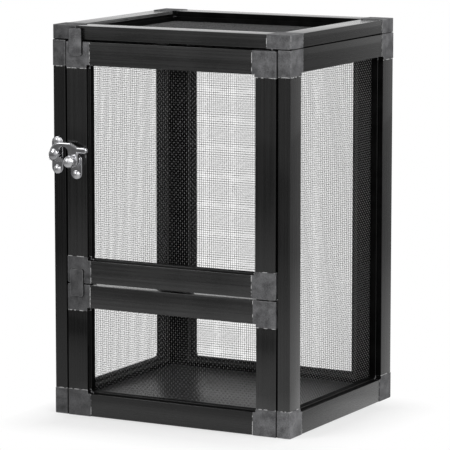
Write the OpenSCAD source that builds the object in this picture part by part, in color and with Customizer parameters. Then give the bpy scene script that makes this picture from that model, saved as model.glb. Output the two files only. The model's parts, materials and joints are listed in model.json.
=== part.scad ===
// Mesh reptile cage: framed mesh panels on a moulded floor, with a hinged front door
// that a horn latch holds shut above a fixed lower panel.
// Millimetres, +Z up, the front faces -Y. The origin is the bottom centre of the
// object's box, with the latch's ball included at the front.

/* [Cage] */
// Outside width, left to right
cage_w = 206; // [170:1:600]
// Outside depth, front to back
cage_d = 178; // [120:1:600]
// Outside height
cage_h = 305; // [280:1:1200]
// Height of the fixed panel below the door
lower_h = 103.8; // [60:0.1:120]
// Clearance between fixed panels at their corner caps
seat_gap = 0.3; // [0.1:0.1:1]

/* [Rails] */
// Face width of a rail
rail_w = 17.4; // [16:0.1:22]
// Thickness of a rail
rail_t = 10.4; // [9.6:0.1:14]
// Wall of the hollow rail
rail_wall = 1.2; // [0.8:0.1:1.6]
// Rounding of the rail's long outer edges
rail_round = 0.8; // [0.3:0.1:1.2]
// Reach of the screen lip past the rail's face
lip_w = 1.2; // [0.6:0.1:2]
// Thickness of the screen lip
lip_t = 6; // [3.8:0.1:7]
// Width of the spline groove
groove_w = 3.2; // [2.4:0.1:4]
// Depth of the spline groove
groove_d = 3.4; // [2.4:0.1:3.6]
// Wall between the groove and the lip's edge
groove_wall = 1.4; // [0.8:0.1:2]

/* [Corner caps] */
// Length of a cap along each rail
cap_len = 20.4; // [20:0.1:26]
// How far a cap stands proud of the rails
cap_proud = 0.3; // [0.1:0.1:0.8]
// Rounding of a cap's outer corner
cap_round = 1.2; // [0.4:0.1:2.5]
// Length of the tongue inside each rail
tongue_len = 14; // [8:1:20]
// Clearance of the tongue in its rail
tongue_clear = 0.1; // [0.05:0.05:0.3]
// Diameter of the dowels between panels
dowel_d = 3.6; // [2.5:0.1:4]
// Depth of a dowel in each panel
dowel_bite = 5; // [3:0.5:6]
// Radial clearance of a dowel
dowel_clear = 0.05; // [0.02:0.01:0.2]
// Distance of a side dowel from the end of its panel
dowel_end = 11.8; // [10:0.1:12]
// Distance of a top dowel from the front or back
dowel_edge = 8; // [6:0.5:10]

/* [Screens] */
// Spacing of the net's wires
net_pitch = 20; // [14:1:40]
// Width of one wire of the net
net_wire = 1; // [0.6:0.1:2]
// Thickness of the net
net_t = 0.6; // [0.4:0.1:1]
// Clearance of the spline in its groove
spline_clear = 0.05; // [0.02:0.01:0.2]
// How far the spline stays below the rail's inner face
spline_sunk = 0.2; // [0.1:0.1:0.6]

/* [Door] */
// Gap between the door and the left panel
door_gap_latch = 1; // [0.6:0.1:2]
// Gap between the door and the right panel
door_gap_hinge = 1.4; // [1.4:0.1:2.5]
// Gap above the door
door_gap_top = 1.3; // [0.6:0.1:3]
// Gap below the door
door_gap_bottom = 1.2; // [0.6:0.1:3]
// Width of a stop tab
tab_w = 11.8; // [8:0.1:14]
// Length of a stop tab on the door
tab_hold = 11; // [8:0.5:14]
// Length of a stop tab over the piece that it bears on
tab_over = 9.2; // [5:0.1:9.8]
// Thickness of a stop tab
tab_t = 1.5; // [1:0.1:2.5]
// Distance of a stop tab from the door's edge
tab_inset = 3.1; // [1.5:0.1:5]
// Rounding of a stop tab's corners
tab_round = 1.8; // [0.5:0.1:3]
// Clearance behind a stop tab
tab_clear = 0.3; // [0.2:0.1:0.8]

/* [Hinge] */
// Diameter of the hinge pins
pin_d = 2; // [1.5:0.1:3]
// Distance of the pins from the door's right edge
pin_inset = 5; // [4.5:0.1:6]
// Distance of the pins behind the door's front
pin_setback = 3.4; // [2.6:0.1:3.6]
// Depth of a pin in the door
pin_hold = 12; // [8:0.5:16]
// Depth of a pin in the top frame or the lower panel
pin_bite = 7; // [4:0.5:8]
// Radial clearance of the pins where they turn
pin_clear = 0.06; // [0.02:0.01:0.1]
// Radial clearance of the pins where they are held
pin_seat = 0.02; // [0.01:0.01:0.05]
// Outside diameter of the washer that carries the door
washer_d = 5; // [4:0.1:6]
// Play of the washer under the door
washer_play = 0.08; // [0.02:0.01:0.2]

/* [Latch] */
// Height of the horn's pivot above the door's middle
latch_rise = 1.75; // [-15:0.05:15]
// Height of the keeper's middle above the horn's pivot
keeper_rise = 3.35; // [2:0.05:6]
// Distance of the keeper's middle from the cage's left side
keeper_inset = 4; // [3.6:0.1:5.5]
// Width of the latch's plates
plate_w = 10; // [8:0.1:11]
// Height of the latch's plates
plate_h = 29.2; // [26:0.1:34]
// Thickness of the latch's plates
plate_t = 1.2; // [0.8:0.1:2]
// Distance between a plate's rivets
rivet_pitch = 22; // [20:0.1:24]
// Diameter of a rivet's head
rivet_d = 6.6; // [4:0.1:7]
// Height of a rivet's head
rivet_h = 1.7; // [1:0.1:1.9]
// Diameter of a rivet's shank
shank_d = 2.4; // [2:0.1:3]
// Diameter of a rivet's closed end inside the rail
tail_d = 3.6; // [3.2:0.1:4]
// Thickness of a rivet's closed end
tail_t = 1; // [0.6:0.1:1.5]
// Radial clearance of the rivets
rivet_clear = 0.05; // [0.02:0.01:0.15]
// Clearance between the rivets' heads and the horn
horn_lift = 0.5; // [0.3:0.1:1]
// Thickness of the horn
horn_t = 4; // [3:0.1:5]
// Width of the horn's band over its arch
horn_band = 3.7; // [2.5:0.1:4.5]
// Inner radius of the horn's arch
horn_arch_r = 3.9; // [3.4:0.1:5.4]
// Height of the horn's top above its tip
horn_rise = 10; // [9:0.1:12]
// Radius of the horn's hub
hub_r = 4.4; // [4:0.1:5.5]
// Radius of the horn's tip
tip_r = 4.3; // [3:0.1:4.8]
// Height of the dome on the horn's tip
tip_dome = 1.6; // [0.8:0.1:2]
// Height of the tip above the keeper's middle
tip_rise = 0.95; // [0.5:0.05:2.5]
// Reach of the thumb lever from the pivot
lever_reach = 12.6; // [11:0.1:18]
// Height of the thumb lever
lever_h = 5; // [4:0.1:6]
// Diameter of the pivot post
post_d = 5; // [4:0.1:6]
// Radial clearance of the horn on the post
post_clear = 0.05; // [0.02:0.01:0.1]
// Radius of the ball on the pivot post
ball_r = 4.8; // [4:0.1:6]
// Distance of the ball's middle from the rail's face
ball_out = 11.5; // [11.5:0.1:16]
// Clearance between the horn's tip and the keeper's cup
cup_clear = 0.6; // [0.5:0.1:1]
// Wall of the keeper's cup
cup_wall = 1.1; // [1:0.1:2]

/* [Floor] */
// Height of the floor's upper face
floor_z = 11; // [8.4:0.1:12]
// Wall of the floor's tray
floor_wall = 2.4; // [1.6:0.1:3]
// Gap between the floor and the panels
floor_gap = 0.4; // [0.2:0.1:1]
// Height of the floor's skirt above the ground
floor_lift = 0.6; // [0.3:0.1:2]
// Thickness of the ribs under the floor
rib_t = 2; // [1.2:0.1:3]
// Spacing of the ribs under the floor
rib_pitch = 40; // [25:1:80]
// Diameter of the pegs that hold the floor
peg_d = 3.6; // [3:0.1:4.5]
// Reach of a peg into its rail
peg_reach = 4.5; // [2.5:0.1:6]
// Height of a peg's middle
peg_z = 4.4; // [4:0.1:6]
// Distance of a peg from the front or back end of its side
peg_end = 51; // [49:1:56]
// Radial clearance of the pegs
peg_clear = 0.1; // [0.05:0.05:0.3]

/* [Hidden] */
$fn = 32;
// Extra length for cuts that run out of a face
cut = 1;

// Panel thickness and the lines of its section, from the panel's edge and outer face
panel_t = rail_t + 2 * cap_proud;
face_edge = cap_proud + rail_w;
lip_edge = face_edge + lip_w;
groove_in = lip_edge - groove_wall;
groove_out = groove_in - groove_w;
inner_y = cap_proud + rail_t;
groove_y = inner_y - groove_d;
lip_y = inner_y - lip_t;
net_y = inner_y - net_t;

// The latch's levels, outwards from the rail's face
horn_out = plate_t + rivet_h + horn_lift;
horn_mid = horn_out + horn_t / 2;
latch_reach = ball_out + ball_r - cap_proud;

// The cage's faces
left_x = -cage_w / 2;
right_x = cage_w / 2;
front_y = (latch_reach - cage_d) / 2;
back_y = front_y + cage_d;
lid_z = cage_h - panel_t;
side_h = lid_z - seat_gap;

// Panels between the two sides
inner_x = left_x + panel_t + seat_gap;
inner_w = cage_w - 2 * (panel_t + seat_gap);
door_x = left_x + panel_t + door_gap_latch;
door_w = cage_w - 2 * panel_t - door_gap_latch - door_gap_hinge;
door_z = lower_h + door_gap_bottom;
door_h = lid_z - door_gap_top - door_z;

// Hinge axis
pin_x = door_x + door_w - pin_inset;
pin_y = front_y + pin_setback;

// Latch places
plate_y = front_y + cap_proud;
pivot_x = door_x + cap_proud + rail_w / 2;
pivot_z = door_z + door_h / 2 + latch_rise;
keeper_x = left_x + keeper_inset;
keeper_z = pivot_z + keeper_rise;
// The horn's tip, the middle of its arch and its outer round, measured from the pivot
tip_x = keeper_x - pivot_x;
tip_z = keeper_rise + tip_rise;
horn_top = tip_z + horn_rise;
horn_x = tip_x - tip_r + horn_rise;
arch_x = -hub_r - horn_arch_r;
arch_z = horn_top - horn_band - horn_arch_r;
lever_z = tip_z + tip_r;

// Floor
floor_w = cage_w - 2 * (panel_t + floor_gap);
floor_d = cage_d - 2 * (panel_t + floor_gap);

rail_col = [0.08, 0.08, 0.09];
cap_col = [0.28, 0.28, 0.29];
net_col = [0.16, 0.16, 0.17];
spline_col = [0.12, 0.12, 0.12];
floor_col = [0.18, 0.18, 0.19];
chrome_col = [0.8, 0.8, 0.82];
steel_col = [0.62, 0.62, 0.64];
nylon_col = [0.35, 0.35, 0.36];

// Shared shapes

// Extrudes a flat outline, drawn in x and z, from y0 to y1
module y_slab(y0, y1) {
    translate([0, y1, 0]) rotate([90, 0, 0]) linear_extrude(y1 - y0) children();
}

module rod_x(x0, x1, y, z, d) {
    translate([x0, y, z]) rotate([0, 90, 0]) cylinder(h = x1 - x0, d = d);
}

module rod_y(x, y0, y1, z, d) {
    translate([x, y1, z]) rotate([90, 0, 0]) cylinder(h = y1 - y0, d = d);
}

module rod_z(x, y, z0, z1, d) {
    translate([x, y, z0]) cylinder(h = z1 - z0, d = d);
}

module rounded_rect(w, h, r) {
    translate([r, 0]) square([w - 2 * r, h]);
    translate([0, r]) square([w, h - 2 * r]);
    for (x = [r, w - r], y = [r, h - r]) {
        translate([x, y]) circle(r = r);
    }
}

// Rail section: x runs in from the panel's edge, y runs in from its outer face
module rail_section() {
    net_seat = groove_in - cap_proud;
    difference() {
        union() {
            translate([0, rail_round]) square([rail_w, rail_t - rail_round]);
            translate([rail_round, 0]) square([rail_w - 2 * rail_round, rail_t]);
            for (x = [rail_round, rail_w - rail_round]) {
                translate([x, rail_round]) circle(r = rail_round);
            }
            translate([rail_w - rail_wall, rail_t - lip_t]) square([rail_wall + lip_w, lip_t]);
        }
        rail_hollow();
        translate([groove_out - cap_proud, rail_t - groove_d]) square([groove_w, groove_d + cut]);
        translate([net_seat, rail_t - net_t]) square([rail_w + lip_w - net_seat + cut, net_t + cut]);
    }
}

function hollow_w() = groove_out - cap_proud - 2 * rail_wall;
function hollow_t() = rail_t - 2 * rail_wall;

// The rail's inside: a tall cell for the caps' tongues and a low one under the groove
module rail_hollow() {
    translate([rail_wall, rail_wall]) square([hollow_w(), hollow_t()]);
    translate([rail_wall, rail_wall])
        square([rail_w - 2 * rail_wall, rail_t - groove_d - 2 * rail_wall]);
}

// A rail along +x that starts at x = 0, with its outer edge at z = 0
module rail(length) {
    mirror([0, 0, 1]) rotate([0, 90, 0]) linear_extrude(length) rail_section();
}

// The four rails of a panel that is w wide and h high
module low_rail(w) {
    translate([cap_len, cap_proud, cap_proud]) rail(w - 2 * cap_len);
}

module high_rail(w, h) {
    translate([0, 0, h]) mirror([0, 0, 1]) low_rail(w);
}

module near_stile(h) {
    mirror([1, 0, -1]) low_rail(h);
}

module far_stile(w, h) {
    translate([w, 0, 0]) mirror([1, 0, 0]) near_stile(h);
}

// Outline of a cap whose arms are arm wide, with its outer corner rounded
module cap_outline(arm) {
    difference() {
        union() {
            square([cap_len, arm]);
            square([arm, cap_len]);
        }
        difference() {
            translate([-cut, -cut]) square(cap_round + cut);
            translate([cap_round, cap_round]) circle(r = cap_round);
        }
    }
}

module cap_tongue() {
    translate([
        cap_len,
        cap_proud + rail_wall + tongue_clear,
        cap_proud + rail_wall + tongue_clear
    ])
        cube([tongue_len, hollow_t() - 2 * tongue_clear, hollow_w() - 2 * tongue_clear]);
}

// One corner cap at the panel's low left corner
module cap() {
    difference() {
        union() {
            y_slab(0, lip_y) cap_outline(face_edge + cap_proud);
            y_slab(lip_y, panel_t) cap_outline(lip_edge);
            cap_tongue();
            mirror([1, 0, -1]) cap_tongue();
        }
        y_slab(groove_y, panel_t + cut) difference() {
            translate([groove_out, groove_out]) square(cap_len);
            translate([groove_in, groove_in]) square(cap_len);
        }
        y_slab(net_y, panel_t + cut) translate([groove_in, groove_in]) square(cap_len);
    }
}

module flip(on, axis) {
    if (on) {
        mirror(axis) children();
    } else {
        children();
    }
}

// A cap at one corner: far is true on the right, high is true at the top
module cap_at(w, h, far, high) {
    translate([far ? w : 0, 0, high ? h : 0])
        flip(far, [1, 0, 0]) flip(high, [0, 0, 1]) cap();
}

module four_caps(w, h) {
    for (far = [false, true], high = [false, true]) {
        cap_at(w, h, far, high);
    }
}

// The net of a panel: a flat grid with a border, and a hem that turns into the groove
module net(w, h) {
    open_w = w - 2 * lip_edge;
    open_h = h - 2 * lip_edge;
    nx = max(1, round(open_w / net_pitch));
    nz = max(1, round(open_h / net_pitch));
    gap_w = (open_w - (nx - 1) * net_wire) / nx;
    gap_h = (open_h - (nz - 1) * net_wire) / nz;
    hem = groove_in - net_t;
    y_slab(net_y, inner_y) difference() {
        translate([hem, hem]) square([w - 2 * hem, h - 2 * hem]);
        for (i = [0 : nx - 1], j = [0 : nz - 1]) {
            translate([lip_edge + i * (gap_w + net_wire), lip_edge + j * (gap_h + net_wire)])
                square([gap_w, gap_h]);
        }
    }
    y_slab(groove_y, net_y) difference() {
        translate([hem, hem]) square([w - 2 * hem, h - 2 * hem]);
        translate([groove_in, groove_in]) square([w - 2 * groove_in, h - 2 * groove_in]);
    }
}

// The spline of a panel: four strips pressed into the groove outside the net's hem
module spline(w, h) {
    outer = groove_out + spline_clear;
    inner = groove_in - net_t - spline_clear;
    strip = inner - outer;
    end = inner + spline_clear;
    for (z = [outer, h - inner]) {
        translate([outer, groove_y, z]) cube([w - 2 * outer, groove_d - spline_sunk, strip]);
    }
    for (x = [outer, w - inner]) {
        translate([x, groove_y, end]) cube([strip, groove_d - spline_sunk, h - 2 * end]);
    }
}

// Where the panels stand

module at_left() {
    translate([left_x, back_y, 0]) rotate([0, 0, -90]) children();
}

module at_right() {
    translate([right_x, front_y, 0]) rotate([0, 0, 90]) children();
}

module at_back() {
    translate([inner_x + inner_w, back_y, 0]) rotate([0, 0, 180]) children();
}

module at_lid() {
    translate([left_x, front_y, cage_h]) rotate([-90, 0, 0]) children();
}

module at_lower() {
    translate([inner_x, front_y, 0]) children();
}

module at_door() {
    translate([door_x, front_y, door_z]) children();
}

// Dowels between panels, with a clearance all round for their bores

module lid_dowel_set(clear) {
    for (x = [left_x + panel_t / 2, right_x - panel_t / 2]) {
        for (y = [front_y + dowel_edge, back_y - dowel_edge]) {
            rod_z(x, y, side_h - dowel_bite - clear, lid_z + dowel_bite + clear, dowel_d + 2 * clear);
        }
    }
}

module side_dowel_set(y, heights, clear) {
    d = dowel_d + 2 * clear;
    reach = dowel_bite + clear;
    for (z = heights) {
        rod_x(left_x + panel_t - reach, inner_x + reach, y, z, d);
        rod_x(right_x - panel_t - seat_gap - reach, right_x - panel_t + reach, y, z, d);
    }
}

module back_dowel_set(clear) {
    side_dowel_set(back_y - panel_t / 2, [dowel_end, side_h - dowel_end], clear);
}

module lower_dowel_set(clear) {
    side_dowel_set(front_y + panel_t / 2, [dowel_end, lower_h - dowel_end], clear);
}

module floor_peg_set(clear) {
    inside = panel_t + floor_gap;
    reach = floor_gap + peg_reach + clear;
    for (y = [front_y + peg_end, back_y - peg_end]) {
        rod_x(left_x + inside - reach, left_x + inside, y, peg_z, peg_d + 2 * clear);
        rod_x(right_x - inside, right_x - inside + reach, y, peg_z, peg_d + 2 * clear);
    }
}

// Hinge pins and their bores

module top_pin(clear) {
    top = door_z + door_h;
    rod_z(pin_x, pin_y, top - pin_hold - clear, lid_z + pin_bite + clear, pin_d + 2 * clear);
}

module bottom_pin(clear) {
    rod_z(pin_x, pin_y, lower_h - pin_bite - clear, door_z + pin_hold + clear, pin_d + 2 * clear);
}

// Latch pieces

// A flat plate with round ends on the rail's face, from the middle of its low end to the other's
module round_plate(x, low, high) {
    y_slab(plate_y - plate_t, plate_y) {
        translate([x - plate_w / 2, low]) square([plate_w, high - low]);
        for (z = [low, high]) {
            translate([x, z]) circle(d = plate_w);
        }
    }
}

module rivet_bore(x, z) {
    rod_y(
        x, plate_y - plate_t - cut, plate_y + rail_wall + cut,
        z, shank_d + 2 * rivet_clear
    );
}

module keeper_bores() {
    for (s = [-1, 1]) {
        rivet_bore(keeper_x, keeper_z + s * rivet_pitch / 2);
    }
}

// The latch plate's low rivet and the post's own riveted end above it
module latch_bores() {
    rivet_bore(pivot_x, pivot_z - rivet_pitch / 2);
    rivet_bore(pivot_x, pivot_z);
}

// A dome of width d and height h that stands on the plane y = face
module dome(x, z, face, d, h) {
    sphere_r = (pow(d / 2, 2) + pow(h, 2)) / (2 * h);
    intersection() {
        translate([x, face - h + sphere_r, z]) sphere(r = sphere_r);
        rod_y(x, face - h, face, z, d);
    }
}

// A domed head on the plate, a shank through the rail's wall and a closed end inside
module rivet(x, z) {
    face = plate_y - plate_t;
    inside = plate_y + rail_wall;
    dome(x, z, face, rivet_d, rivet_h);
    rod_y(x, face, inside, z, shank_d);
    rod_y(x, inside, inside + tail_t, z, tail_d);
}

// Outline of the horn, measured from its pivot: fat tip, arch, shoulder, leg, hub and lever
module horn_outline() {
    lever_low = lever_z - lever_h / 2;
    difference() {
        union() {
            intersection() {
                translate([horn_x, tip_z]) circle(r = horn_rise);
                translate([horn_x - horn_rise, tip_z]) square([2 * horn_rise, horn_rise]);
            }
            polygon([
                [horn_x, horn_top],
                [-hub_r / 2, horn_top],
                [hub_r, lever_low + lever_h],
                [hub_r, 0],
                [arch_x, 0],
                [arch_x, arch_z]
            ]);
        }
        translate([arch_x, arch_z]) circle(r = horn_arch_r);
        translate([arch_x - horn_arch_r, -horn_top]) square([2 * horn_arch_r, horn_top + arch_z]);
    }
    circle(r = hub_r);
    translate([tip_x, tip_z]) circle(r = tip_r);
    translate([0, lever_low]) square([lever_reach - lever_h / 2, lever_h]);
    translate([lever_reach - lever_h / 2, lever_z]) circle(d = lever_h);
}

// Panel pieces

module left_front_stile() color(rail_col) difference() {
    at_left() far_stile(cage_d, side_h);
    lower_dowel_set(dowel_clear);
    keeper_bores();
}

module left_back_stile() color(rail_col) at_left() near_stile(side_h);

module left_top_rail() color(rail_col) at_left() high_rail(cage_d, side_h);

module left_bottom_rail() color(rail_col) difference() {
    at_left() low_rail(cage_d);
    floor_peg_set(peg_clear);
}

module left_caps() color(cap_col) difference() {
    at_left() four_caps(cage_d, side_h);
    lid_dowel_set(dowel_clear);
    back_dowel_set(dowel_clear);
    lower_dowel_set(dowel_clear);
}

module left_net() color(net_col) at_left() net(cage_d, side_h);

module left_spline() color(spline_col) at_left() spline(cage_d, side_h);

module right_front_stile() color(rail_col) difference() {
    at_right() near_stile(side_h);
    lower_dowel_set(dowel_clear);
}

module right_back_stile() color(rail_col) at_right() far_stile(cage_d, side_h);

module right_top_rail() color(rail_col) at_right() high_rail(cage_d, side_h);

module right_bottom_rail() color(rail_col) difference() {
    at_right() low_rail(cage_d);
    floor_peg_set(peg_clear);
}

module right_caps() color(cap_col) difference() {
    at_right() four_caps(cage_d, side_h);
    lid_dowel_set(dowel_clear);
    back_dowel_set(dowel_clear);
    lower_dowel_set(dowel_clear);
}

module right_net() color(net_col) at_right() net(cage_d, side_h);

module right_spline() color(spline_col) at_right() spline(cage_d, side_h);

module back_left_stile() color(rail_col) at_back() far_stile(inner_w, side_h);

module back_right_stile() color(rail_col) at_back() near_stile(side_h);

module back_top_rail() color(rail_col) at_back() high_rail(inner_w, side_h);

module back_bottom_rail() color(rail_col) at_back() low_rail(inner_w);

module back_caps() color(cap_col) difference() {
    at_back() four_caps(inner_w, side_h);
    back_dowel_set(dowel_clear);
}

module back_net() color(net_col) at_back() net(inner_w, side_h);

module back_spline() color(spline_col) at_back() spline(inner_w, side_h);

module lid_front_rail() color(rail_col) at_lid() low_rail(cage_w);

module lid_back_rail() color(rail_col) at_lid() high_rail(cage_w, cage_d);

module lid_left_rail() color(rail_col) at_lid() near_stile(cage_d);

module lid_right_rail() color(rail_col) at_lid() far_stile(cage_w, cage_d);

module lid_caps() color(cap_col) difference() {
    at_lid() four_caps(cage_w, cage_d);
    lid_dowel_set(dowel_clear);
    top_pin(pin_clear);
}

module lid_net() color(net_col) at_lid() net(cage_w, cage_d);

module lid_spline() color(spline_col) at_lid() spline(cage_w, cage_d);

module lower_left_stile() color(rail_col) at_lower() near_stile(lower_h);

module lower_right_stile() color(rail_col) at_lower() far_stile(inner_w, lower_h);

module lower_top_rail() color(rail_col) at_lower() high_rail(inner_w, lower_h);

module lower_bottom_rail() color(rail_col) at_lower() low_rail(inner_w);

module lower_caps() color(cap_col) difference() {
    at_lower() four_caps(inner_w, lower_h);
    lower_dowel_set(dowel_clear);
    bottom_pin(pin_clear);
}

module lower_net() color(net_col) at_lower() net(inner_w, lower_h);

module lower_spline() color(spline_col) at_lower() spline(inner_w, lower_h);

module door_latch_stile() color(rail_col) difference() {
    at_door() near_stile(door_h);
    latch_bores();
}

module door_hinge_stile() color(rail_col) at_door() far_stile(door_w, door_h);

module door_top_rail() color(rail_col) at_door() high_rail(door_w, door_h);

module door_bottom_rail() color(rail_col) at_door() low_rail(door_w);

module door_hinge_caps() color(cap_col) difference() {
    at_door() {
        cap_at(door_w, door_h, true, false);
        cap_at(door_w, door_h, true, true);
    }
    top_pin(pin_seat);
    bottom_pin(pin_seat);
}

// A tab that stands on the door's cap and reaches past the door's edge, at height 0
module stop_tab(gap) {
    reach = gap + tab_over;
    y_slab(-tab_clear - tab_t, -tab_clear)
        translate([tab_inset, -tab_hold]) rounded_rect(tab_w, tab_hold + reach, tab_round);
    y_slab(-tab_clear, 0) intersection() {
        translate([tab_inset, -tab_hold]) rounded_rect(tab_w, tab_hold + reach, tab_round);
        translate([tab_inset, -tab_hold]) square([tab_w, tab_hold]);
    }
}

module door_top_stop_cap() color(cap_col) at_door() {
    cap_at(door_w, door_h, false, true);
    translate([0, 0, door_h]) stop_tab(door_gap_top);
}

module door_bottom_stop_cap() color(cap_col) at_door() {
    cap_at(door_w, door_h, false, false);
    mirror([0, 0, 1]) stop_tab(door_gap_bottom);
}

module door_net() color(net_col) at_door() net(door_w, door_h);

module door_spline() color(spline_col) at_door() spline(door_w, door_h);

// Floor and joining pieces

module floor_base() color(floor_col) {
    x0 = -floor_w / 2;
    y0 = front_y + panel_t + floor_gap;
    under = floor_z - floor_wall;
    ribs = max(1, round(floor_w / rib_pitch) - 1);
    difference() {
        translate([x0, y0, floor_lift]) cube([floor_w, floor_d, floor_z - floor_lift]);
        translate([x0 + floor_wall, y0 + floor_wall, 0])
            cube([floor_w - 2 * floor_wall, floor_d - 2 * floor_wall, under]);
    }
    for (i = [1 : ribs]) {
        translate([x0 + i * floor_w / (ribs + 1) - rib_t / 2, y0 + floor_wall, floor_lift])
            cube([rib_t, floor_d - 2 * floor_wall, under - floor_lift]);
    }
    floor_peg_set(0);
}

module top_dowels() color(nylon_col) lid_dowel_set(0);

module back_dowels() color(nylon_col) back_dowel_set(0);

module lower_dowels() color(nylon_col) lower_dowel_set(0);

module hinge_pin_top() color(steel_col) top_pin(0);

module hinge_pin_bottom() color(steel_col) bottom_pin(0);

module hinge_washer() color(nylon_col) difference() {
    rod_z(pin_x, pin_y, lower_h, door_z - washer_play, washer_d);
    rod_z(pin_x, pin_y, lower_h - cut, door_z + cut, pin_d + 2 * pin_clear);
}

// Latch

module keeper_plate() color(chrome_col) difference() {
    half = (plate_h - plate_w) / 2;
    round_plate(keeper_x, keeper_z - half, keeper_z + half);
    keeper_bores();
}

module keeper_rivets() color(chrome_col) {
    for (s = [-1, 1]) {
        rivet(keeper_x, keeper_z + s * rivet_pitch / 2);
    }
}

// The lower part of a ring that the horn's tip drops into, open above and in front
module keeper_cup() color(chrome_col) {
    inner = tip_r + cup_clear;
    outer = inner + cup_wall;
    translate([keeper_x, 0, keeper_z + tip_rise])
        y_slab(plate_y - horn_mid, plate_y - plate_t) difference() {
            circle(r = outer);
            circle(r = inner);
            translate([-outer - cut, -inner / 3]) square([2 * (outer + cut), outer + inner]);
        }
}

module latch_plate() color(chrome_col) difference() {
    round_plate(pivot_x, pivot_z - (plate_h - plate_w) / 2, pivot_z);
    latch_bores();
}

module latch_rivet() color(chrome_col) rivet(pivot_x, pivot_z - rivet_pitch / 2);

module latch_post() color(chrome_col) {
    face = plate_y - plate_t;
    inside = plate_y + rail_wall;
    translate([pivot_x, plate_y - ball_out, pivot_z]) sphere(r = ball_r);
    rod_y(pivot_x, plate_y - ball_out, face, pivot_z, post_d);
    rod_y(pivot_x, face, inside, pivot_z, shank_d);
    rod_y(pivot_x, inside, inside + tail_t, pivot_z, tail_d);
}

module latch_horn() color(chrome_col) difference() {
    union() {
        translate([pivot_x, 0, pivot_z])
            y_slab(plate_y - horn_out - horn_t, plate_y - horn_out) horn_outline();
        dome(pivot_x + tip_x, pivot_z + tip_z, plate_y - horn_out - horn_t, 2 * tip_r, tip_dome);
    }
    rod_y(pivot_x, plate_y - ball_out, plate_y, pivot_z, post_d + 2 * post_clear);
}

left_front_stile();
left_back_stile();
left_top_rail();
left_bottom_rail();
left_caps();
left_net();
left_spline();
right_front_stile();
right_back_stile();
right_top_rail();
right_bottom_rail();
right_caps();
right_net();
right_spline();
back_left_stile();
back_right_stile();
back_top_rail();
back_bottom_rail();
back_caps();
back_net();
back_spline();
lid_front_rail();
lid_back_rail();
lid_left_rail();
lid_right_rail();
lid_caps();
lid_net();
lid_spline();
lower_left_stile();
lower_right_stile();
lower_top_rail();
lower_bottom_rail();
lower_caps();
lower_net();
lower_spline();
door_latch_stile();
door_hinge_stile();
door_top_rail();
door_bottom_rail();
door_hinge_caps();
door_top_stop_cap();
door_bottom_stop_cap();
door_net();
door_spline();
floor_base();
top_dowels();
back_dowels();
lower_dowels();
hinge_pin_top();
hinge_pin_bottom();
hinge_washer();
keeper_plate();
keeper_cup();
keeper_rivets();
latch_plate();
latch_rivet();
latch_post();
latch_horn();
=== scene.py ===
"""Dresses the mesh reptile cage: rails, corner caps, woven mesh, floor and latch.

Everything is in metres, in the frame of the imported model: +Z is up and the door faces -Y.
The camera and the studio come first. Each panel is then rebuilt on its CAD box from rounded
extrusions, softened corner caps and wires woven at their true spacing, and the floor, the
hinge and the latch follow.
"""

import json
import logging
import math
from collections.abc import Sequence
from dataclasses import dataclass
from enum import Enum, IntEnum
from functools import cache, cached_property
from typing import ClassVar

import bmesh
import bpy
from mathutils import Matrix, Vector

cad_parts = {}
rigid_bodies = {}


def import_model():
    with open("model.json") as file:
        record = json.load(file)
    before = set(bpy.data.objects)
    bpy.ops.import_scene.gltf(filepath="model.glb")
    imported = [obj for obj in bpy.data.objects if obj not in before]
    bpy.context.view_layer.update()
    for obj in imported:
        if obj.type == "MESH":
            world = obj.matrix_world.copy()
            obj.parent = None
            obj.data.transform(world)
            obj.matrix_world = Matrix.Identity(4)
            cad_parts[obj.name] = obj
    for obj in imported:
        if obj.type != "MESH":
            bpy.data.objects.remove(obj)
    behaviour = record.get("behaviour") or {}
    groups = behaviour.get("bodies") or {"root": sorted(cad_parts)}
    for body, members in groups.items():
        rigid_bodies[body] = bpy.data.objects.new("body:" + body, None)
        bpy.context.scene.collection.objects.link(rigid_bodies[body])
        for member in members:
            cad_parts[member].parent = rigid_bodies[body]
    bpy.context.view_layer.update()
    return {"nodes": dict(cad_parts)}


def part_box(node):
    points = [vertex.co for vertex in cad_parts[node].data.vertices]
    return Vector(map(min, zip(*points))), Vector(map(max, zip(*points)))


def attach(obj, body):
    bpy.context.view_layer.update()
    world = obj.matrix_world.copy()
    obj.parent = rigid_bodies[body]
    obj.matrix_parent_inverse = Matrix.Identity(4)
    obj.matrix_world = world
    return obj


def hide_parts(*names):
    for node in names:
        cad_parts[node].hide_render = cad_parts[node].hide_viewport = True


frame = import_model()

MM = 0.001
KNUCKLE_GLINT = "knuckle"
UP = Vector((0, 0, 1))
RIGHT = Vector((1, 0, 0))
BACK = Vector((0, 1, 0))
log = logging.getLogger("cage")

Triple = tuple[float, float, float]
Span = tuple[float, float]
Socket = bpy.types.NodeSocket
Piece = bpy.types.Object


class Axis(Enum):
    """A direction of the cage that a rail can run along."""

    X = 0
    Y = 1
    Z = 2

    @classmethod
    def of(cls, direction: Vector) -> "Axis":
        """The axis that a direction lies along."""
        return cls(max(range(3), key=lambda i: abs(direction[i])))


class RailSide(Enum):
    """Which edge of its panel a rail makes, in the order that a panel names its rails."""

    LOW = "low"
    HIGH = "high"
    NEAR = "near"
    FAR = "far"


class RailShade(Enum):
    """A factor on a rail's colour and its specular level, darker or paler for some rails."""

    DEEP = (0.6, 0.15)
    PLAIN = (1.0, 0.42)
    PALE = (3.2, 0.55)
    # Painted light: a pale band where an inner edge catches the light.
    RUBBED = (20.0, 0.5)


class RailPart(IntEnum):
    """The material slots of a rail: the third holds painted shade, the fourth a painted light band."""

    MAIN = 0
    CUT = 1
    INSIDE = 2
    RUBBED = 3


class CapPaintedLight(Enum):
    """A factor on a cap's colour, for caps with painted shade or painted light."""

    PLAIN = 1.0
    # Painted shade on the caps at the left
    DEEP = 0.62
    # Painted light on the right panel's lower front cap
    PALE = 1.25


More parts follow.
